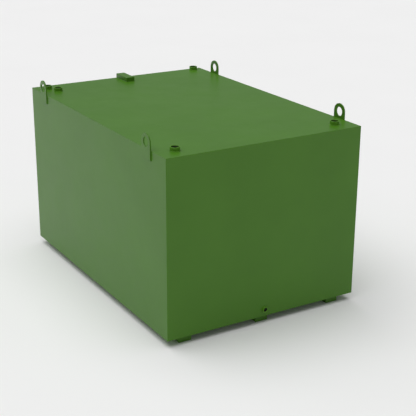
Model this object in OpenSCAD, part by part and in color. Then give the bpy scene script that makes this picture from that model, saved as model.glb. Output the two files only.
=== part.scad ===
// Bunded oil tank: an inner tank inside a welded steel bund, on three skids.
// Millimetres, Z up. The front end faces -Y. The origin lies on the floor,
// under the middle of the bund body.

/* [Bund body] */
// Width over the two side walls
body_w = 1390; // [1240:10:1600]
// Length over the front and rear walls
body_l = 2000; // [1700:10:2400]
// Height from the underside of the bund floor to the top of the roof
body_h = 1140; // [900:5:1400]
// Thickness of the bund plates
bund_t = 3; // [3:0.5:5]

/* [Skids] */
// Width of each box section skid
skid_w = 90; // [60:5:120]
// Height of each skid, which lifts the bund off the floor
skid_h = 50; // [30:5:80]
// Wall thickness of the box section
skid_t = 4; // [3:0.5:6]
// Centre of each outer skid from the side wall above it
skid_in = 140; // [80:1:300]
// Thickness of the plate that closes each end of the box section
skid_cap_t = 3; // [3:0.5:6]
// Set-back of each skid end from the wall above it
skid_back = 36; // [0:2:80]

/* [Lifting lugs] */
// Width of the flat bar
lug_w = 105; // [90:1:120]
// Thickness of the flat bar
lug_t = 8; // [8:1:16]
// Length of the lug welded to the side wall, below the roof
lug_drop = 58; // [40:2:120]
// Diameter of the eye, which shares its centre with the round head
eye_d = 60; // [30:1:64]
// Height of the middle of the eye above the roof
eye_rise = 43; // [34:1:60]
// Centre of the front lugs from the front wall
front_lug_in = 228; // [150:5:400]
// Centre of the rear lugs from the rear wall
rear_lug_in = 228; // [150:5:400]

/* [Roof sockets] */
// Outside diameter of a roof socket
socket_d = 60; // [57:0.5:64]
// Bore of a roof socket
socket_bore = 44.8; // [38:0.1:50]
// Height of a roof socket above the roof
socket_rise = 25; // [20:1:40]
// Chamfer at the mouth of every socket
mouth_chamfer = 1.2; // [0.5:0.1:2]
// Centre of the two front sockets from the side walls
front_socket_side = 122; // [110:1:200]
// Centre of the two front sockets from the front wall
front_socket_in = 115; // [110:1:150]
// Centre of the draw-off socket from the left wall
draw_socket_side = 123; // [110:1:200]
// Centre of the draw-off socket from the rear wall
draw_socket_in = 186; // [170:1:200]
// Centre of the return socket from the left wall
return_socket_side = 81; // [81:1:90]
// Centre of the return socket from the rear wall
return_socket_in = 96; // [94:1:100]
// Centre of the bund dip socket from the right wall
dip_socket_side = 76; // [60:1:120]
// Centre of the bund dip socket from the rear wall
dip_socket_in = 39; // [34:1:42]
// Length of a tank socket inside the inner tank
socket_tail = 6; // [3:1:20]
// Length of the bund dip socket below the roof plate
dip_socket_tail = 12; // [8:1:30]

/* [Vent hood] */
// Width of the hood over the bund vent
hood_w = 66; // [50:1:100]
// Length of the hood from the rear edge of the roof
hood_l = 170; // [140:1:240]
// Height of the hood
hood_h = 31; // [25:1:60]
// Thickness of the folded hood sheet
hood_t = 2; // [1.5:0.5:3]
// Middle of the hood from the middle of the tank, positive to the right
hood_x = 9; // [-40:1:40]
// Width of the vent slot in the roof
vent_w = 40; // [20:1:44]
// Length of the vent slot in the roof
vent_l = 90; // [60:1:100]
// Rear end of the vent slot from the rear edge of the roof
vent_in = 45; // [30:1:50]

/* [Drain socket] */
// Outside diameter of the bund drain socket
drain_d = 40; // [36:1:50]
// Bore of the bund drain socket
drain_bore = 24.2; // [20:0.1:30]
// Length that stands out of the front wall
drain_out = 12; // [10:1:30]
// Length that stands into the bund
drain_in = 10; // [5:1:20]
// Middle of the drain socket above the underside of the bund
drain_z = 46; // [40:1:80]

/* [Inner tank] */
// Gap from the outer face of a side wall to the inner tank
side_gap = 45; // [30:1:46]
// Gap from the outer face of an end wall to the inner tank
end_gap = 58; // [40:1:58]
// Gap between the inner tank and the bund roof plate
roof_gap = 50; // [40:1:80]
// Thickness of the inner tank plates
inner_t = 3; // [3:0.5:5]
// Height of the bearers between the two floors
bearer_h = 50; // [40:1:80]
// Width of each bearer
bearer_w = 100; // [60:1:140]
// Thickness of the folded bearers
bearer_t = 4; // [3:0.5:6]
// Centre of the end bearers from the ends of the inner tank
bearer_in = 240; // [100:5:400]
// Size of the cut corners of the baffle
baffle_cut = 80; // [40:5:120]
// Diameter of the hole in the middle of the baffle
baffle_hole = 400; // [200:10:500]

/* [Fits] */
// Clearance round a socket in the plate that it passes through
socket_clear = 0.3; // [0.2:0.05:0.5]

/* [Hidden] */

// Faces of the bund body
wall_x = body_w / 2;
wall_y = body_l / 2;
floor_z = skid_h;
roof_z = skid_h + body_h;
wall_z = floor_z + bund_t;
wall_h = body_h - 2 * bund_t;
skid_x = wall_x - skid_in;
skid_y = wall_y - skid_back;

// Faces of the inner tank
inner_x = wall_x - side_gap;
inner_y = wall_y - end_gap;
bearer_y = inner_y - bearer_in;
inner_z = wall_z + bearer_h;
inner_top = roof_z - bund_t - roof_gap;
inner_wall_z = inner_z + inner_t;
inner_wall_h = inner_top - inner_z - 2 * inner_t;

// Places of the roof sockets, seen from above
fill_xy = [-wall_x + front_socket_side, -wall_y + front_socket_in];
gauge_xy = [wall_x - front_socket_side, -wall_y + front_socket_in];
draw_xy = [-wall_x + draw_socket_side, wall_y - draw_socket_in];
return_xy = [-wall_x + return_socket_side, wall_y - return_socket_in];
dip_xy = [wall_x - dip_socket_side, wall_y - dip_socket_in];
tank_socket_xy = [fill_xy, gauge_xy, draw_xy, return_xy];

// Foot and length of the sockets that reach down through the inner roof
tank_socket_z = inner_top - inner_t - socket_tail;
tank_socket_l = roof_z + socket_rise - tank_socket_z;

// Surface colours
bund_green = [0.34, 0.47, 0.25];
skid_green = [0.25, 0.36, 0.18];
inner_grey = [0.45, 0.46, 0.46];
// Depth by which a cutting body passes the face that it cuts
past = 1;

// A plate from its least corner
module plate(at, size) {
    translate(at) cube(size);
}

// A tube that stands up from z = 0, chamfered inside and outside at its mouth
module socket_tube(d, bore, l) {
    rotate_extrude($fn = 72)
        polygon([
            [bore / 2, 0],
            [d / 2, 0],
            [d / 2, l - mouth_chamfer],
            [d / 2 - mouth_chamfer, l],
            [bore / 2 + mouth_chamfer, l],
            [bore / 2, l - mouth_chamfer]
        ]);
}

module bund_floor() {
    color(bund_green)
        plate([-wall_x, -wall_y, floor_z], [body_w, body_l, bund_t]);
}

module bund_front_wall() {
    color(bund_green)
        difference() {
            plate([-wall_x + bund_t, -wall_y, wall_z],
                [body_w - 2 * bund_t, bund_t, wall_h]);
            translate([0, -wall_y - past, floor_z + drain_z])
                rotate([-90, 0, 0])
                    cylinder(h = bund_t + 2 * past, d = drain_d + 2 * socket_clear, $fn = 64);
        }
}

module bund_rear_wall() {
    color(bund_green)
        plate([-wall_x + bund_t, wall_y - bund_t, wall_z],
            [body_w - 2 * bund_t, bund_t, wall_h]);
}

module bund_left_wall() {
    color(bund_green)
        plate([-wall_x, -wall_y, wall_z], [bund_t, body_l, wall_h]);
}

module bund_right_wall() {
    color(bund_green)
        plate([wall_x - bund_t, -wall_y, wall_z], [bund_t, body_l, wall_h]);
}

// The hole for a socket in a plate of thickness t whose top is at z
module socket_hole(xy, z, t) {
    translate([xy[0], xy[1], z - t - past])
        cylinder(h = t + 2 * past, d = socket_d + 2 * socket_clear, $fn = 72);
}

module roof_plate() {
    color(bund_green)
        difference() {
            plate([-wall_x, -wall_y, roof_z - bund_t], [body_w, body_l, bund_t]);
            for (xy = tank_socket_xy)
                socket_hole(xy, roof_z, bund_t);
            socket_hole(dip_xy, roof_z, bund_t);
            plate([hood_x - vent_w / 2, wall_y - vent_in - vent_l, roof_z - bund_t - past],
                [vent_w, vent_l, bund_t + 2 * past]);
        }
}

// A flat bar with a round head and an eye, against the wall face x = 0.
// It lies on the +X side of that face, with z = 0 at the roof.
module lug() {
    difference() {
        union() {
            plate([0, -lug_w / 2, -lug_drop],
                [lug_t, lug_w, lug_drop + eye_rise]);
            translate([0, 0, eye_rise])
                rotate([0, 90, 0])
                    cylinder(h = lug_t, d = lug_w, $fn = 96);
        }
        translate([-past, 0, eye_rise])
            rotate([0, 90, 0])
                cylinder(h = lug_t + 2 * past, d = eye_d, $fn = 72);
    }
}

module front_left_lug() {
    color(bund_green)
        translate([-wall_x - lug_t, -wall_y + front_lug_in, roof_z]) lug();
}

module front_right_lug() {
    color(bund_green)
        translate([wall_x, -wall_y + front_lug_in, roof_z]) lug();
}

module rear_left_lug() {
    color(bund_green)
        translate([-wall_x - lug_t, wall_y - rear_lug_in, roof_z]) lug();
}

module rear_right_lug() {
    color(bund_green)
        translate([wall_x, wall_y - rear_lug_in, roof_z]) lug();
}

// A socket welded into the inner roof and the bund roof plate above it
module tank_socket(xy) {
    translate([xy[0], xy[1], tank_socket_z])
        socket_tube(socket_d, socket_bore, tank_socket_l);
}

module fill_socket() {
    color(bund_green) tank_socket(fill_xy);
}

module gauge_socket() {
    color(bund_green) tank_socket(gauge_xy);
}

module draw_off_socket() {
    color(bund_green) tank_socket(draw_xy);
}

module return_socket() {
    color(bund_green) tank_socket(return_xy);
}

// The dip socket opens into the gap behind the inner tank
module bund_dip_socket() {
    color(bund_green)
        translate([dip_xy[0], dip_xy[1], roof_z - bund_t - dip_socket_tail])
            socket_tube(socket_d, socket_bore, dip_socket_tail + bund_t + socket_rise);
}

// Folded cover over the vent slot, open below and at the rear edge
module vent_hood() {
    color(bund_green)
        difference() {
            plate([hood_x - hood_w / 2, wall_y - hood_l, roof_z], [hood_w, hood_l, hood_h]);
            plate([hood_x - hood_w / 2 + hood_t, wall_y - hood_l + hood_t, roof_z - past],
                [hood_w - 2 * hood_t, hood_l, hood_h - hood_t + past]);
        }
}

// Box section along the tank, cut short by the plates that close its ends
module skid(x) {
    cut_y = skid_y - skid_cap_t;
    difference() {
        plate([x - skid_w / 2, -cut_y, 0], [skid_w, 2 * cut_y, skid_h]);
        plate([x - skid_w / 2 + skid_t, -cut_y - past, skid_t],
            [skid_w - 2 * skid_t, 2 * (cut_y + past), skid_h - 2 * skid_t]);
    }
}

// Plate over one end of a skid, at the front for end = -1 and the rear for end = 1
module skid_cap(x, end) {
    y = end < 0 ? -skid_y : skid_y - skid_cap_t;
    plate([x - skid_w / 2, y, 0], [skid_w, skid_cap_t, skid_h]);
}

module left_skid() {
    color(skid_green) skid(-skid_x);
}

module middle_skid() {
    color(skid_green) skid(0);
}

module right_skid() {
    color(skid_green) skid(skid_x);
}

module left_skid_front_cap() {
    color(skid_green) skid_cap(-skid_x, -1);
}

module left_skid_rear_cap() {
    color(skid_green) skid_cap(-skid_x, 1);
}

module middle_skid_front_cap() {
    color(skid_green) skid_cap(0, -1);
}

module middle_skid_rear_cap() {
    color(skid_green) skid_cap(0, 1);
}

module right_skid_front_cap() {
    color(skid_green) skid_cap(skid_x, -1);
}

module right_skid_rear_cap() {
    color(skid_green) skid_cap(skid_x, 1);
}

module drain_socket() {
    color(bund_green)
        translate([0, -wall_y + bund_t + drain_in, floor_z + drain_z])
            rotate([90, 0, 0])
                socket_tube(drain_d, drain_bore, drain_in + bund_t + drain_out);
}

module inner_floor() {
    color(inner_grey)
        plate([-inner_x, -inner_y, inner_z], [2 * inner_x, 2 * inner_y, inner_t]);
}

module inner_front_wall() {
    color(inner_grey)
        plate([-inner_x + inner_t, -inner_y, inner_wall_z],
            [2 * (inner_x - inner_t), inner_t, inner_wall_h]);
}

module inner_rear_wall() {
    color(inner_grey)
        plate([-inner_x + inner_t, inner_y - inner_t, inner_wall_z],
            [2 * (inner_x - inner_t), inner_t, inner_wall_h]);
}

module inner_left_wall() {
    color(inner_grey)
        plate([-inner_x, -inner_y, inner_wall_z], [inner_t, 2 * inner_y, inner_wall_h]);
}

module inner_right_wall() {
    color(inner_grey)
        plate([inner_x - inner_t, -inner_y, inner_wall_z],
            [inner_t, 2 * inner_y, inner_wall_h]);
}

module inner_roof() {
    color(inner_grey)
        difference() {
            plate([-inner_x, -inner_y, inner_top - inner_t], [2 * inner_x, 2 * inner_y, inner_t]);
            for (xy = tank_socket_xy)
                socket_hole(xy, inner_top, inner_t);
        }
}

// Cross plate that stills the oil, with cut corners and a round hole
module baffle_plate() {
    span = 2 * (inner_x - inner_t);
    color(inner_grey)
        difference() {
            plate([-span / 2, -inner_t / 2, inner_wall_z], [span, inner_t, inner_wall_h]);
            for (side = [-1, 1], end = [0, 1])
                translate([side * span / 2, 0, inner_wall_z + end * inner_wall_h])
                    rotate([0, 45, 0])
                        cube([baffle_cut, inner_t + 2 * past, baffle_cut], center = true);
            translate([0, -inner_t / 2 - past, inner_wall_z + inner_wall_h / 2])
                rotate([-90, 0, 0])
                    cylinder(h = inner_t + 2 * past, d = baffle_hole, $fn = 96);
        }
}

// Folded channel across the bund floor, open below
module bearer(y) {
    difference() {
        plate([-inner_x, y - bearer_w / 2, wall_z], [2 * inner_x, bearer_w, bearer_h]);
        plate([-inner_x - past, y - bearer_w / 2 + bearer_t, wall_z - past],
            [2 * (inner_x + past), bearer_w - 2 * bearer_t, bearer_h - bearer_t + past]);
    }
}

module front_bearer() {
    color(inner_grey) bearer(-bearer_y);
}

module middle_bearer() {
    color(inner_grey) bearer(0);
}

module rear_bearer() {
    color(inner_grey) bearer(bearer_y);
}

bund_floor();
bund_front_wall();
bund_rear_wall();
bund_left_wall();
bund_right_wall();
roof_plate();
front_left_lug();
front_right_lug();
rear_left_lug();
rear_right_lug();
fill_socket();
gauge_socket();
draw_off_socket();
return_socket();
bund_dip_socket();
vent_hood();
left_skid();
middle_skid();
right_skid();
left_skid_front_cap();
left_skid_rear_cap();
middle_skid_front_cap();
middle_skid_rear_cap();
right_skid_front_cap();
right_skid_rear_cap();
drain_socket();
inner_floor();
inner_front_wall();
inner_rear_wall();
inner_left_wall();
inner_right_wall();
inner_roof();
baffle_plate();
front_bearer();
middle_bearer();
rear_bearer();
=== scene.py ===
import math

import bmesh
import bpy
from mathutils import Matrix, Vector


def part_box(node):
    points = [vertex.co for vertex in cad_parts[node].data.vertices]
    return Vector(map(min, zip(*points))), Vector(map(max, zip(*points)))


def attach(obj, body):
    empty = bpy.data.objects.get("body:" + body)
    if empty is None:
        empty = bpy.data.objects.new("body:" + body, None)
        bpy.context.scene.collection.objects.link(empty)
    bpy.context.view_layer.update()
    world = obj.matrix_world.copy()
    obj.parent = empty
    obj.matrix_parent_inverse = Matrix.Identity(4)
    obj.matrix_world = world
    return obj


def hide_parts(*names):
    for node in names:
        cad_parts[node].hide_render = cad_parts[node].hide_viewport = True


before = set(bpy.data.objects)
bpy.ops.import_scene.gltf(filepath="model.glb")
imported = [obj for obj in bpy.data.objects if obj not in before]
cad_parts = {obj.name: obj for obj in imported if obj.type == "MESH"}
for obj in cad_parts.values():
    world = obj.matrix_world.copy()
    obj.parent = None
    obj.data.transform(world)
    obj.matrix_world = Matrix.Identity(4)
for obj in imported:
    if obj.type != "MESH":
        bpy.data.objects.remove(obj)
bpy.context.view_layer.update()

mm = 0.001
print("frame loaded")


# small helpers for working by hand in code

near = 0.1 * mm            # places closer than this are the same place
mergeGap = 0.02 * mm       # corners closer than this become one
along = 0.9                # a direction with more than this share of an axis runs along it
across = 0.1               # and one with less than this share runs across it
roundSides = 96            # on a turned or drilled round
cutLength = 50 * mm        # a cutter this long passes through any plate
smoothAngle = math.radians(35)
quarterTurn = math.pi / 2


def boxOf(node):  # a node's lowest and highest corners
    return [Vector(corner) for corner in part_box(node)]


def camelName(node):  # fill_socket becomes fillSocket
    first, *others = node.split("_")
    return first + "".join(word.title() for word in others)


def deselectAll():
    if bpy.context.object and bpy.context.object.mode != "OBJECT":
        bpy.ops.object.mode_set(mode="OBJECT")
    bpy.ops.object.select_all(action="DESELECT")


def workOn(piece):
    deselectAll()
    piece.select_set(True)
    bpy.context.view_layer.objects.active = piece


def applyPlace(piece):
    workOn(piece)
    bpy.ops.object.transform_apply(location=True, rotation=True, scale=True)


def applyModifier(piece, kind, **settings):
    workOn(piece)
    modifier = piece.modifiers.new(kind.title(), kind)
    for name, value in settings.items():
        setattr(modifier, name, value)
    bpy.ops.object.modifier_apply(modifier=modifier.name)


def editMesh(piece, mode="FACE"):
    workOn(piece)
    bpy.ops.object.mode_set(mode="EDIT")
    bpy.ops.mesh.select_mode(type=mode)
    bpy.ops.mesh.select_all(action="DESELECT")
    return bmesh.from_edit_mesh(piece.data)


def selectEdges(piece, wanted):  # wanted gets the middle of an edge and its direction
    mesh = editMesh(piece, "EDGE")
    for edge in mesh.edges:
        a, b = (vert.co for vert in edge.verts)
        if wanted((a + b) / 2, (b - a).normalized()):
            edge.select_set(True)
    bmesh.update_edit_mesh(piece.data)


def selectFaces(piece, wanted):  # wanted gets the middle of a face and its normal
    mesh = editMesh(piece, "FACE")
    for face in mesh.faces:
        if wanted(face.calc_center_median(), face.normal):
            face.select_set(True)
    bmesh.update_edit_mesh(piece.data)


def bevelEdges(piece, radius, segments, wanted):
    selectEdges(piece, wanted)
    bpy.ops.mesh.bevel(offset=radius, segments=segments, affect="EDGES", clamp_overlap=True)
    bpy.ops.object.mode_set(mode="OBJECT")


def openFaces(piece, wanted):
    selectFaces(piece, wanted)
    bpy.ops.mesh.delete(type="FACE")
    bpy.ops.object.mode_set(mode="OBJECT")


def tidyMesh(piece):
    editMesh(piece)
    bpy.ops.mesh.select_all(action="SELECT")
    bpy.ops.mesh.remove_doubles(threshold=mergeGap)
    bpy.ops.mesh.normals_make_consistent(inside=False)
    bpy.ops.object.mode_set(mode="OBJECT")


def addBlock(name, low, high):
    deselectAll()
    low, high = Vector(low), Vector(high)
    bpy.ops.mesh.primitive_cube_add(size=1, location=(low + high) / 2)
    block = bpy.context.object
    block.name = name
    block.scale = high - low
    applyPlace(block)
    return block


def addRod(name, centre, radius, length, turn=(0, 0, 0)):
    deselectAll()
    bpy.ops.mesh.primitive_cylinder_add(
        vertices=roundSides, radius=radius, depth=length, location=centre, rotation=turn)
    rod = bpy.context.object
    rod.name = name
    applyPlace(rod)
    return rod


def cutWith(piece, cutter, operation="DIFFERENCE"):
    applyModifier(piece, "BOOLEAN", object=cutter, operation=operation, solver="EXACT")
    bpy.data.objects.remove(cutter, do_unlink=True)


def copyPiece(piece, name, offset):
    deselectAll()
    twin = piece.copy()
    twin.data = piece.data.copy()
    twin.name = name
    bpy.context.collection.objects.link(twin)
    twin.location = offset
    applyPlace(twin)
    return twin


def joinPieces(pieces, name):
    deselectAll()
    for piece in pieces:
        piece.select_set(True)
    bpy.context.view_layer.objects.active = pieces[0]
    bpy.ops.object.join()
    joined = bpy.context.object
    joined.name = name
    return joined


def dressPiece(piece, finish, standsFor=()):
    applyPlace(piece)
    bpy.ops.object.shade_smooth_by_angle(angle=smoothAngle)
    piece.data.materials.clear()
    piece.data.materials.append(finish)
    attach(piece, "root")
    if standsFor:  # wide faces stay flat between their rounded edges
        applyModifier(piece, "WEIGHTED_NORMAL", keep_sharp=True, weight=90)
        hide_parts(*standsFor)
    deselectAll()


# colours and node materials

def linearColour(hexText):
    channels = [int(hexText[i:i + 2], 16) / 255 for i in (1, 3, 5)]
    return [c / 12.92 if c <= 0.04045 else ((c + 0.055) / 1.055) ** 2.4 for c in channels] + [1.0]


def inputOf(node, name):  # i6 is input number 6, and any other name is the input's own
    return node.inputs[int(name[1:]) if name[1:].isdigit() else name]


def addNode(tree, kind, settings=None, **links):
    node = tree.nodes.new("ShaderNode" + kind)
    for name, value in (settings or {}).items():
        if name in node.inputs or name[1:].isdigit():
            inputOf(node, name).default_value = value
        else:
            setattr(node, name, value)
    for name, source in links.items():
        tree.links.new(source, inputOf(node, name))
    return node


def newFinish(name):
    finish = bpy.data.materials.new(name)
    finish.use_nodes = True
    finish.node_tree.nodes.clear()
    return finish, finish.node_tree


# Satin enamel sprayed on steel: a deep yellow green under a soft sheen that picks up
# the pale floor, faint orange peel, and slow waves where thin plate has moved in welding
paintLook = {
    "colour": "#457618",
    "thinCoat": "#497B1C",     # slightly paler passes of the spray gun
    "patchSize": 350 * mm,
    "ior": 1.36,               # the satin coat is a little weaker than clean enamel at 1.5
    "roughness": 0.33,
    "roughnessSpread": 0.05,
    "dullSpots": 6,            # to a metre, so 167 mm apart
    "peelSize": 6 * mm,        # real orange peel is 1 to 2 mm, drawn coarser so that it shows
    "peelDepth": 0.04 * mm,
    "waveSize": 600 * mm,
    "waveDepth": 0.12 * mm,
}


def satinEnamel(name, look):
    finish, tree = newFinish(name)
    place = addNode(tree, "TexCoord").outputs["Object"]

    patches = addNode(tree, "TexNoise",
        {"Scale": 1 / look["patchSize"], "Detail": 3, "Roughness": 0.55}, Vector=place)
    thinness = addNode(tree, "MapRange", {"From Min": 0.35, "From Max": 0.75},
        Value=patches.outputs["Fac"])
    colour = addNode(tree, "Mix", {"data_type": "RGBA", "i6": linearColour(look["colour"]),
        "i7": linearColour(look["thinCoat"])}, i0=thinness.outputs["Result"])

    dullness = addNode(tree, "TexNoise",
        {"Scale": look["dullSpots"], "Detail": 4, "Roughness": 0.6}, Vector=place)
    halfSpread = look["roughnessSpread"] / 2
    rough = addNode(tree, "MapRange", {"From Min": 0.3, "From Max": 0.7,
        "To Min": look["roughness"] - halfSpread, "To Max": look["roughness"] + halfSpread},
        Value=dullness.outputs["Fac"])

    wave = addNode(tree, "TexNoise",
        {"Scale": 1 / look["waveSize"], "Detail": 1, "Roughness": 0.4}, Vector=place)
    waveBump = addNode(tree, "Bump", {"Strength": 1, "Distance": look["waveDepth"]},
        Height=wave.outputs["Fac"])
    peel = addNode(tree, "TexNoise",
        {"Scale": 1 / look["peelSize"], "Detail": 2, "Roughness": 0.5}, Vector=place)
    peelBump = addNode(tree, "Bump", {"Strength": 1, "Distance": look["peelDepth"]},
        Height=peel.outputs["Fac"], Normal=waveBump.outputs["Normal"])

    paint = addNode(tree, "BsdfPrincipled", {"IOR": look["ior"], "Metallic": 0},
        Roughness=rough.outputs["Result"], Normal=peelBump.outputs["Normal"])
    tree.links.new(colour.outputs[2], paint.inputs["Base Color"])
    addNode(tree, "OutputMaterial", Surface=paint.outputs["BSDF"])
    return finish


# Hot rolled plate and folded channel, left as it came: blue grey scale with brown blooms
millScaleLook = {"scale": "#4A4D50", "bloom": "#6A5444", "bloomSize": 120 * mm,
    "scaleDepth": 0.2 * mm, "metallic": 0.6, "roughness": 0.55}


def millScale(name, look):
    finish, tree = newFinish(name)
    place = addNode(tree, "TexCoord").outputs["Object"]
    blooms = addNode(tree, "TexNoise",
        {"Scale": 1 / look["bloomSize"], "Detail": 6, "Roughness": 0.65}, Vector=place)
    amount = addNode(tree, "MapRange", {"From Min": 0.5, "From Max": 0.75},
        Value=blooms.outputs["Fac"])
    colour = addNode(tree, "Mix", {"data_type": "RGBA", "i6": linearColour(look["scale"]),
        "i7": linearColour(look["bloom"])}, i0=amount.outputs["Result"])
    bump = addNode(tree, "Bump", {"Strength": 0.6, "Distance": look["scaleDepth"]},
        Height=blooms.outputs["Fac"])
    steel = addNode(tree, "BsdfPrincipled",
        {"Metallic": look["metallic"], "Roughness": look["roughness"]}, Normal=bump.outputs["Normal"])
    tree.links.new(colour.outputs[2], steel.inputs["Base Color"])
    addNode(tree, "OutputMaterial", Surface=steel.outputs["BSDF"])
    return finish


# Cut pipe thread: oily machined steel, patches of oil over paler steel; the oil darkens it a little,
# and both colours are darkened further to nearly black as painted shade inside the bore
threadLookWithPaintedShade = {"steel": "#353733", "oil": "#151712",
    "oilSpots": 120,           # to a metre, so 8 mm apart
    "oilDepth": 0.05 * mm, "metallic": 0.9, "roughness": 0.36}


def cutThreadSteel(name, look):
    finish, tree = newFinish(name)
    place = addNode(tree, "TexCoord").outputs["Object"]
    film = addNode(tree, "TexNoise", {"Scale": look["oilSpots"], "Detail": 3}, Vector=place)
    colour = addNode(tree, "Mix", {"data_type": "RGBA", "i6": linearColour(look["oil"]),
        "i7": linearColour(look["steel"])}, i0=film.outputs["Fac"])
    bump = addNode(tree, "Bump", {"Strength": 0.4, "Distance": look["oilDepth"]},
        Height=film.outputs["Fac"])
    steel = addNode(tree, "BsdfPrincipled",
        {"Metallic": look["metallic"], "Roughness": look["roughness"]}, Normal=bump.outputs["Normal"])
    tree.links.new(colour.outputs[2], steel.inputs["Base Color"])
    addNode(tree, "OutputMaterial", Surface=steel.outputs["BSDF"])
    return finish


# small pieces show smaller patches and waves than the wide plates do
fittingLook = dict(paintLook, patchSize=80 * mm, waveSize=200 * mm, waveDepth=0.1 * mm,
    peelSize=3 * mm)
socketLookWithBounceLight = dict(fittingLook, colour="#4F8419", thinCoat="#548A1D")  # paler all over: painted bounce light from the roof on the sockets and their beads
skidLook = dict(paintLook, patchSize=200 * mm, roughness=0.45)

platePaint = satinEnamel("satin enamel on steel plate", paintLook)
fittingPaint = satinEnamel("satin enamel on welded fittings", fittingLook)
# the sockets, their beads and the drain take this paler paint as painted bounce light, not a thinner
# coat
socketPaintWithBounceLight = satinEnamel("thin satin enamel on turned sockets", socketLookWithBounceLight)
skidPaint = satinEnamel("satin enamel on box section", skidLook)
tankSteel = millScale("mill scale on hot rolled plate", millScaleLook)
threadSteelWithPaintedShade = cutThreadSteel("oiled cut thread", threadLookWithPaintedShade)
print("finishes made")


# bund plates: rounded outer corners, and the slight dish of welded thin plate

plateShape = {
    "cornerRadius": 2.6 * mm, "cornerSteps": 4,
    "edgeRadius": 1.2 * mm, "edgeSteps": 2,
    "rim": 3 * mm,             # edges this close to a side of the tank are on its rim
    "dish": 0.5 * mm,          # how far the plate is drawn in between its welds
    "dishSize": 550 * mm,      # from one hollow to the next
    "dishCuts": 24,
    "dishMargin": 50 * mm,     # the edges stay straight
    "dishRise": 250 * mm,      # from there to the full dish
    "holeGap": 0.3 * mm,       # round a socket that passes through
}
ventSlot = {"width": 40 * mm, "length": 90 * mm, "fromRear": 45 * mm}

socketNodes = ["fill_socket", "gauge_socket", "draw_off_socket", "return_socket", "bund_dip_socket"]
drainLow, drainHigh = boxOf("drain_socket")
drainMid = (drainLow + drainHigh) / 2
drainRadius = (drainHigh.x - drainLow.x) / 2
hoodLow, hoodHigh = boxOf("vent_hood")
tankX, tankY, roofZ = boxOf("roof_plate")[1]

cloud = bpy.data.textures.new("plate movement", "CLOUDS")
cloud.noise_scale = plateShape["dishSize"]
cloud.noise_depth = 1


def addPlate(node, name):
    low, high = boxOf(node)
    return addBlock(name, low, high), low, high


def dishPlate(plate, low, high, axis, inward):
    selectFaces(plate, lambda at, normal: abs(normal[axis]) > along)
    bpy.ops.mesh.subdivide(number_cuts=plateShape["dishCuts"])
    bpy.ops.object.mode_set(mode="OBJECT")
    group = plate.vertex_groups.new(name="inside the welds")
    for vert in plate.data.vertices:
        fromEdge = min(min(vert.co[k] - low[k], high[k] - vert.co[k]) for k in range(3) if k != axis)
        rise = min(1, max(0, fromEdge - plateShape["dishMargin"]) / plateShape["dishRise"])
        if rise > 0:
            group.add([vert.index], rise * rise * (3 - 2 * rise), "REPLACE")
    applyModifier(plate, "DISPLACE", texture=cloud, texture_coords="LOCAL",
        direction="XYZ"[axis], mid_level=0, strength=inward * plateShape["dish"],
        vertex_group=group.name)
    plate.vertex_groups.clear()


def roundCorners(plate):  # the upright edges at the corners of the tank
    bevelEdges(plate, plateShape["cornerRadius"], plateShape["cornerSteps"],
        lambda at, direction: abs(direction.z) > along
        and abs(abs(at.x) - tankX) < near and abs(abs(at.y) - tankY) < near)


for side, node in ((-1, "bund_left_wall"), (1, "bund_right_wall")):
    wall, low, high = addPlate(node, camelName(node.removeprefix("bund_")))
    roundCorners(wall)
    dishPlate(wall, low, high, 0, -side)
    dressPiece(wall, platePaint, [node])

for end, node in ((-1, "bund_front_wall"), (1, "bund_rear_wall")):
    wall, low, high = addPlate(node, camelName(node.removeprefix("bund_")))
    dishPlate(wall, low, high, 1, -end)
    if node == "bund_front_wall":
        cutWith(wall, addRod("drain hole", (drainMid.x, -tankY, drainMid.z),
            drainRadius + plateShape["holeGap"], cutLength, (quarterTurn, 0, 0)))
    dressPiece(wall, platePaint, [node])

bundFloor, low, high = addPlate("bund_floor", "bundFloor")
roundCorners(bundFloor)
bevelEdges(bundFloor, plateShape["edgeRadius"], plateShape["edgeSteps"],
    lambda at, direction: at.z < low.z + near)
dressPiece(bundFloor, platePaint, ["bund_floor"])

roof, low, high = addPlate("roof_plate", "roofPlate")
dishPlate(roof, low, high, 2, -1)
roundCorners(roof)
bevelEdges(roof, plateShape["edgeRadius"], plateShape["edgeSteps"],
    lambda at, direction: at.z > high.z - near and abs(direction.z) < across
    and (abs(at.x) > tankX - plateShape["rim"] or abs(at.y) > tankY - plateShape["rim"]))
for node in socketNodes:
    socketLow, socketHigh = boxOf(node)
    middle = (socketLow + socketHigh) / 2
    cutWith(roof, addRod("socket hole", (middle.x, middle.y, roofZ),
        (socketHigh.x - socketLow.x) / 2 + plateShape["holeGap"], cutLength))
slotX = (hoodLow.x + hoodHigh.x) / 2
slotRear = tankY - ventSlot["fromRear"]
cutWith(roof, addBlock("vent slot",
    (slotX - ventSlot["width"] / 2, slotRear - ventSlot["length"], roofZ - cutLength / 2),
    (slotX + ventSlot["width"] / 2, slotRear, roofZ + cutLength / 2)))
dressPiece(roof, platePaint, ["roof_plate"])
print("bund plates made")


# weld beads: overlapping ripples, one modelled and repeated

weldShape = {"pitch": 4 * mm, "length": 8 * mm, "width": 8 * mm, "height": 7 * mm,
    "lean": 25}                # degrees, so that each ripple overlaps the one before it
weldSize = {"lug": 1, "skid": 1, "socket": 0.8, "hood": 0.6, "cap": 0.5}  # 1 is the bead on thick plate


def addRipple(size):
    deselectAll()
    bpy.ops.mesh.primitive_uv_sphere_add(segments=10, ring_count=6, radius=0.5, location=(0, 0, 0))
    ripple = bpy.context.object
    ripple.scale = [size * weldShape[name] for name in ("length", "width", "height")]
    applyPlace(ripple)
    editMesh(ripple, "VERT")
    bpy.ops.mesh.select_all(action="SELECT")
    bpy.ops.transform.rotate(value=math.radians(weldShape["lean"]), orient_axis="Y",
        center_override=(0, 0, 0))
    bpy.ops.object.mode_set(mode="OBJECT")
    return ripple


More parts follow.
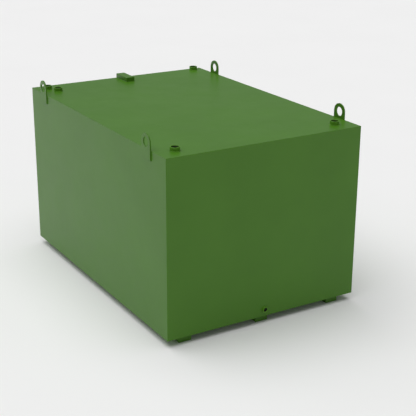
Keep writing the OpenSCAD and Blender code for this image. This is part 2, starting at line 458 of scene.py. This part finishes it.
def straightWeld(start, end, size):
    run = Vector(end) - Vector(start)
    pitch = size * weldShape["pitch"]
    bead = addRipple(size)
    applyModifier(bead, "ARRAY", count=max(2, round(run.length / pitch) + 1),
        use_relative_offset=False, use_constant_offset=True,
        constant_offset_displace=(pitch, 0, 0))
    bead.rotation_euler = run.to_track_quat("X", "Z").to_euler()
    bead.location = start
    applyPlace(bead)
    return bead


def roundWeld(name, centre, radius, turn=(0, 0, 0)):
    size = weldSize["socket"]
    bead = addRipple(size)
    bead.name = name
    bead.location = (0, radius, 0)
    applyPlace(bead)
    editMesh(bead)
    bpy.ops.mesh.select_all(action="SELECT")
    bpy.ops.mesh.spin(steps=round(2 * math.pi * radius / (size * weldShape["pitch"])),
        dupli=True, angle=2 * math.pi, center=(0, 0, 0), axis=(0, 0, 1))
    bpy.ops.object.mode_set(mode="OBJECT")
    bead.rotation_euler = turn
    bead.location = centre
    applyPlace(bead)
    return bead


# lifting lugs: flame cut plate with a round head, an eye and softened edges

lugShape = {
    "eyeRadius": 30 * mm,
    "edgeRadius": 1 * mm, "edgeSteps": 2,
    "sharpFrom": 50,           # degrees, so that only the edges of the plate are softened
    "beadOut": 0.5 * mm,       # from the wall to the middle of a bead
    "beadTop": 3 * mm,         # from the top of the roof down to the end of a bead
}


def addLug(name, low, high):
    headRadius = (high.y - low.y) / 2
    thickness = high.x - low.x
    eyeAt = Vector(((low.x + high.x) / 2, (low.y + high.y) / 2, high.z - headRadius))
    lug = addBlock(name, low, (high.x, high.y, eyeAt.z))
    cutWith(lug, addRod("lug head", eyeAt, headRadius, thickness, (0, quarterTurn, 0)), "UNION")
    cutWith(lug, addRod("lug eye", eyeAt, lugShape["eyeRadius"], cutLength, (0, quarterTurn, 0)))
    applyModifier(lug, "BEVEL", width=lugShape["edgeRadius"], segments=lugShape["edgeSteps"],
        limit_method="ANGLE", angle_limit=math.radians(lugShape["sharpFrom"]))
    return lug


def lugBeads(low, high):  # down one side of the lug, along its foot and up the other
    x = low.x + lugShape["beadOut"] if low.x > 0 else high.x - lugShape["beadOut"]
    top = roofZ - lugShape["beadTop"]
    corners = [(x, low.y, top), (x, low.y, low.z), (x, high.y, low.z), (x, high.y, top)]
    return [straightWeld(start, end, weldSize["lug"]) for start, end in zip(corners, corners[1:])]


for node in ("front_left_lug", "front_right_lug", "rear_left_lug", "rear_right_lug"):
    low, high = boxOf(node)
    dressPiece(addLug(camelName(node), low, high), fittingPaint, [node])
    beads = joinPieces(lugBeads(low, high), camelName(node) + "Weld")
    dressPiece(beads, fittingPaint)
print("lifting lugs made")


# sockets: turned rings with a chamfered mouth, and a cut pipe thread inside

socketShape = {
    "chamfer": 1.2 * mm,
    "rootRadius": 23.9 * mm, "crestRadius": 22.4 * mm,
    "lead": 5 * mm,            # the plain painted stretch between the mouth and the first crest
    "pitch": 2.309 * mm, "turns": 10,
    "ridge": 0.46,             # half the width of a ridge, in pitches
    "beadOut": 0.5 * mm,       # from the ring to the middle of its bead
}
drainShape = dict(socketShape, rootRadius=13.1 * mm, crestRadius=12.1 * mm, lead=3 * mm,
    pitch=1.814 * mm, turns=9)
threadSteps = 48               # to a turn


def addSocket(name, outer, length, shape):  # stands up from the origin
    deselectAll()
    wall = outer - shape["rootRadius"]
    bpy.ops.mesh.primitive_plane_add(size=1,
        location=(shape["rootRadius"] + wall / 2, 0, length / 2), rotation=(quarterTurn, 0, 0))
    ring = bpy.context.object
    ring.name = name
    ring.scale = (wall, length, 1)
    applyPlace(ring)
    mesh = editMesh(ring, "VERT")
    for vert in mesh.verts:
        vert.select_set(vert.co.z > length / 2)
    bmesh.update_edit_mesh(ring.data)
    bpy.ops.mesh.bevel(offset=shape["chamfer"], segments=1, affect="VERTICES")
    bpy.ops.mesh.select_all(action="SELECT")
    bpy.ops.mesh.delete(type="ONLY_FACE")
    bpy.ops.mesh.select_all(action="SELECT")
    bpy.ops.mesh.spin(steps=roundSides, angle=2 * math.pi, center=(0, 0, 0), axis=(0, 0, 1))
    bpy.ops.object.mode_set(mode="OBJECT")
    tidyMesh(ring)
    return ring


def addThread(name, mouth, shape):  # one ridge, wound down from the height of the mouth
    deselectAll()
    bpy.ops.mesh.primitive_circle_add(vertices=3, radius=1, fill_type="NOTHING",
        location=(0, 0, 0), rotation=(quarterTurn, 0, 0))
    thread = bpy.context.object
    thread.name = name
    applyPlace(thread)
    mesh = editMesh(thread, "VERT")
    foot = mouth - shape["lead"] - shape["turns"] * shape["pitch"]
    root = shape["rootRadius"] + near
    half = shape["pitch"] * shape["ridge"]
    corners = ((shape["crestRadius"], foot), (root, foot + half), (root, foot - half))
    for vert, (radius, z) in zip(mesh.verts, corners):
        vert.co = (radius, 0, z)
    bmesh.update_edit_mesh(thread.data)
    bpy.ops.object.mode_set(mode="OBJECT")
    applyModifier(thread, "SCREW", axis="Z", screw_offset=shape["pitch"], angle=2 * math.pi,
        steps=threadSteps, render_steps=threadSteps, iterations=shape["turns"],
        use_merge_vertices=True)
    editMesh(thread, "EDGE")
    bpy.ops.mesh.select_all(action="SELECT")
    bpy.ops.mesh.fill_holes(sides=3)
    bpy.ops.object.mode_set(mode="OBJECT")
    tidyMesh(thread)
    return thread


threadMaster = addThread("threadMaster", 0, socketShape)
for node in socketNodes:
    name = camelName(node)
    low, high = boxOf(node)
    middle = (low + high) / 2
    radius = (high.x - low.x) / 2
    socket = addSocket(name, radius, high.z - low.z, socketShape)
    socket.location = (middle.x, middle.y, low.z)
    # the paler socket paint is painted bounce light from the roof
    dressPiece(socket, socketPaintWithBounceLight, [node])
    thread = copyPiece(threadMaster, name + "Thread", (middle.x, middle.y, high.z))
    # the thread's near-black steel is painted shade in the bore
    dressPiece(thread, threadSteelWithPaintedShade)
    bead = roundWeld(name + "Weld", (middle.x, middle.y, roofZ), radius + socketShape["beadOut"])
    dressPiece(bead, socketPaintWithBounceLight)
bpy.data.objects.remove(threadMaster, do_unlink=True)

drainLength = drainHigh.y - drainLow.y
drain = addSocket("drainSocket", drainRadius, drainLength, drainShape)
drainThread = addThread("drainSocketThread", drainLength, drainShape)
for piece in (drain, drainThread):  # turned to lie with its mouth to the front
    piece.rotation_euler = (quarterTurn, 0, 0)
    piece.location = (drainMid.x, drainHigh.y, drainMid.z)
dressPiece(drain, socketPaintWithBounceLight, ["drain_socket"])
dressPiece(drainThread, threadSteelWithPaintedShade)
drainBead = roundWeld("drainSocketWeld", (drainMid.x, -tankY, drainMid.z),
    drainRadius + drainShape["beadOut"], (quarterTurn, 0, 0))
dressPiece(drainBead, socketPaintWithBounceLight)
print("sockets made")


# vent hood: sheet folded over the slot, open at the rear edge of the roof

hoodShape = {"sheet": 2 * mm, "bendRadius": 4 * mm, "bendSteps": 4,
    "beadEnd": 10 * mm}        # from the rear edge of the roof to the end of a bead

hood = addBlock("ventHood", hoodLow, hoodHigh)
openFaces(hood, lambda at, normal: normal.z < -along or normal.y > along)
bevelEdges(hood, hoodShape["bendRadius"], hoodShape["bendSteps"],
    lambda at, direction: at.y < hoodHigh.y - near
    and (at.z > hoodHigh.z - near or abs(direction.z) > along))
applyModifier(hood, "SOLIDIFY", thickness=hoodShape["sheet"], offset=-1, use_even_offset=True)
tidyMesh(hood)
dressPiece(hood, fittingPaint, ["vent_hood"])

beadRear = hoodHigh.y - hoodShape["beadEnd"]
hoodCorners = [(hoodLow.x, beadRear, roofZ), (hoodLow.x, hoodLow.y, roofZ),
    (hoodHigh.x, hoodLow.y, roofZ), (hoodHigh.x, beadRear, roofZ)]
hoodBeads = [straightWeld(start, end, weldSize["hood"])
    for start, end in zip(hoodCorners, hoodCorners[1:])]
dressPiece(joinPieces(hoodBeads, "ventHoodWeld"), fittingPaint)
print("vent hood made")


# skids: box section with rolled corners, stitched to the bund floor, and a plate
# welded over each end

skidShape = {
    "wall": 4 * mm,
    "cornerRadius": 6 * mm, "cornerSteps": 5,
    "stitch": 60 * mm, "stitches": 6,
    "stitchEnd": 20 * mm,      # from the end of the section to the first stitch
    "stitchIn": 2 * mm, "stitchDown": 1 * mm,
}
capShape = {
    "cornerRadius": 2.5 * mm, "cornerSteps": 3,
    "edgeRadius": 0.6 * mm, "edgeSteps": 2,
    "seamIn": 1 * mm, "seamEnd": 4 * mm,
}


def addSkid(name, low, high):
    skid = addBlock(name, low, high)
    openFaces(skid, lambda at, normal: abs(normal.y) > along)
    bevelEdges(skid, skidShape["cornerRadius"], skidShape["cornerSteps"],
        lambda at, direction: abs(direction.y) > along)
    applyModifier(skid, "SOLIDIFY", thickness=skidShape["wall"], offset=-1, use_even_offset=True)
    tidyMesh(skid)
    return skid


def skidStitches(low, high):  # short beads in pairs, along both sides of the section
    beads = []
    z = high.z - skidShape["stitchDown"]
    room = high.y - low.y - skidShape["stitch"] - 2 * skidShape["stitchEnd"]
    for k in range(skidShape["stitches"]):
        y = low.y + skidShape["stitchEnd"] + room * k / (skidShape["stitches"] - 1)
        for x in (low.x + skidShape["stitchIn"], high.x - skidShape["stitchIn"]):
            beads.append(straightWeld((x, y, z), (x, y + skidShape["stitch"], z), weldSize["skid"]))
    return beads


def addCap(node, end):
    cap, low, high = addPlate(node, camelName(node))
    outerY = low.y if end < 0 else high.y
    bevelEdges(cap, capShape["cornerRadius"], capShape["cornerSteps"],
        lambda at, direction: abs(direction.y) > along)
    bevelEdges(cap, capShape["edgeRadius"], capShape["edgeSteps"],
        lambda at, direction: abs(at.y - outerY) < near and abs(direction.y) < across)
    return cap


def capSeams(node, end):  # an upright bead at each side, where the plate meets the section
    low, high = boxOf(node)
    y = high.y if end < 0 else low.y
    return [straightWeld((x, y, high.z - capShape["seamEnd"]), (x, y, low.z + capShape["seamEnd"]),
        weldSize["cap"]) for x in (low.x + capShape["seamIn"], high.x - capShape["seamIn"])]


for node in ("left_skid", "middle_skid", "right_skid"):
    low, high = boxOf(node)
    dressPiece(addSkid(camelName(node), low, high), skidPaint, [node])
    beads = skidStitches(low, high)
    for end, capNode in ((-1, node + "_front_cap"), (1, node + "_rear_cap")):
        dressPiece(addCap(capNode, end), skidPaint, [capNode])
        beads += capSeams(capNode, end)
    dressPiece(joinPieces(beads, camelName(node) + "Welds"), skidPaint)
print("skids made")


# the inner tank, its bearers and its baffle are the CAD nodes in their own finish

for node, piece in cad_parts.items():
    if node.startswith("inner_") or node.endswith("_bearer") or node == "baffle_plate":
        piece.data.materials.clear()
        piece.data.materials.append(tankSteel)


# pale floor, two wide soft lamps and a dim studio with a pale horizon

stageLook = {
    "floorSize": 120,          # metres
    "floor": "#F2F2F2", "floorShade": "#EFEFEF", "shadeSize": 1250 * mm, "floorRoughness": 0.9,
    "floorGlow": 0.01,         # share of the floor that the camera sees as plain backdrop
    "sky": "#FFFFFF", "studio": 0.275, "horizon": 0.86,
    "horizonTop": 0.0, "studioFrom": 0.1,        # sine of the elevation
    "lampDistance": 6,         # metres, though a sun shines alike from any distance
}

lamps = {  # where each lamp shines from, its strength and its width in degrees
    "softKey": {"from": (-0.15, 0, 1), "strength": 1.79, "angle": 70},
    "backLight": {"from": (-0.3, 0.5, 0.78), "strength": 0.61, "angle": 60},
}


def backdropRays(tree):  # 1 for what the camera, a reflection or glass shows, and 0 for light
    path = addNode(tree, "LightPath").outputs
    seen = addNode(tree, "Math", {"operation": "ADD"},
        i0=path["Is Camera Ray"], i1=path["Is Glossy Ray"])
    return addNode(tree, "Math", {"operation": "ADD", "use_clamp": True},
        i0=seen.outputs[0], i1=path["Is Transmission Ray"]).outputs[0]


deselectAll()
bpy.ops.mesh.primitive_plane_add(size=stageLook["floorSize"], location=(0, 0, 0))
floor = bpy.context.object
floor.name = "studioFloor"
floorFinish, tree = newFinish("matt studio floor")
place = addNode(tree, "TexCoord").outputs["Object"]
mottle = addNode(tree, "TexNoise", {"Scale": 1 / stageLook["shadeSize"], "Detail": 2}, Vector=place)
tone = addNode(tree, "Mix", {"data_type": "RGBA", "i6": linearColour(stageLook["floor"]),
    "i7": linearColour(stageLook["floorShade"])}, i0=mottle.outputs["Fac"])
matt = addNode(tree, "BsdfPrincipled",
    {"Roughness": stageLook["floorRoughness"], "Specular IOR Level": 0})
tree.links.new(tone.outputs[2], matt.inputs["Base Color"])
glow = addNode(tree, "Emission", {"Strength": 1}, Color=tone.outputs[2])
share = addNode(tree, "Math", {"operation": "MULTIPLY", "i1": stageLook["floorGlow"]},
    i0=backdropRays(tree))
floorMix = addNode(tree, "MixShader", i0=share.outputs[0], i1=matt.outputs["BSDF"],
    i2=glow.outputs["Emission"])
addNode(tree, "OutputMaterial", Surface=floorMix.outputs["Shader"])
floor.data.materials.append(floorFinish)

world = bpy.data.worlds.new("dim studio")
bpy.context.scene.world = world
world.use_nodes = True
tree = world.node_tree
tree.nodes.clear()
direction = addNode(tree, "TexCoord").outputs["Generated"]
height = addNode(tree, "SeparateXYZ", Vector=direction)
level = addNode(tree, "MapRange", {"interpolation_type": "SMOOTHSTEP",
    "From Min": stageLook["horizonTop"], "From Max": stageLook["studioFrom"],
    "To Min": stageLook["horizon"], "To Max": stageLook["studio"]}, Value=height.outputs["Z"])
strength = addNode(tree, "Mix", {"data_type": "FLOAT", "i2": stageLook["studio"]},
    i0=backdropRays(tree), i3=level.outputs["Result"])
sky = addNode(tree, "Background", {"Color": linearColour(stageLook["sky"])},
    Strength=strength.outputs[0])
addNode(tree, "OutputWorld", Surface=sky.outputs["Background"])

for name, lamp in lamps.items():
    deselectAll()
    source = Vector(lamp["from"])
    bpy.ops.object.light_add(type="SUN", location=source * stageLook["lampDistance"])
    light = bpy.context.object
    light.name = name
    light.data.energy = lamp["strength"]
    light.data.angle = math.radians(lamp["angle"])
    light.rotation_euler = source.to_track_quat("Z", "Y").to_euler()

# the camera solved from the corners of the body in the photograph, on a square frame
view = {"at": (-3.2496, -5.7074, 2.8408), "azimuth": -31.02, "elevation": 19.94, "roll": 0.32,
    "lens": 86.85, "sensor": 36, "farEnd": 200}

bpy.ops.object.camera_add()
camera = bpy.context.object
camera.name = "photoCamera"
camera.matrix_world = (Matrix.Translation(view["at"])
    @ Matrix.Rotation(math.radians(view["azimuth"]), 4, "Z")
    @ Matrix.Rotation(math.radians(90 - view["elevation"]), 4, "X")
    @ Matrix.Rotation(math.radians(view["roll"]), 4, "Z"))
camera.data.lens = view["lens"]
camera.data.sensor_width = view["sensor"]
camera.data.clip_end = view["farEnd"]
bpy.context.scene.camera = camera
bpy.context.scene.view_settings.view_transform = "Standard"
print("stage set")
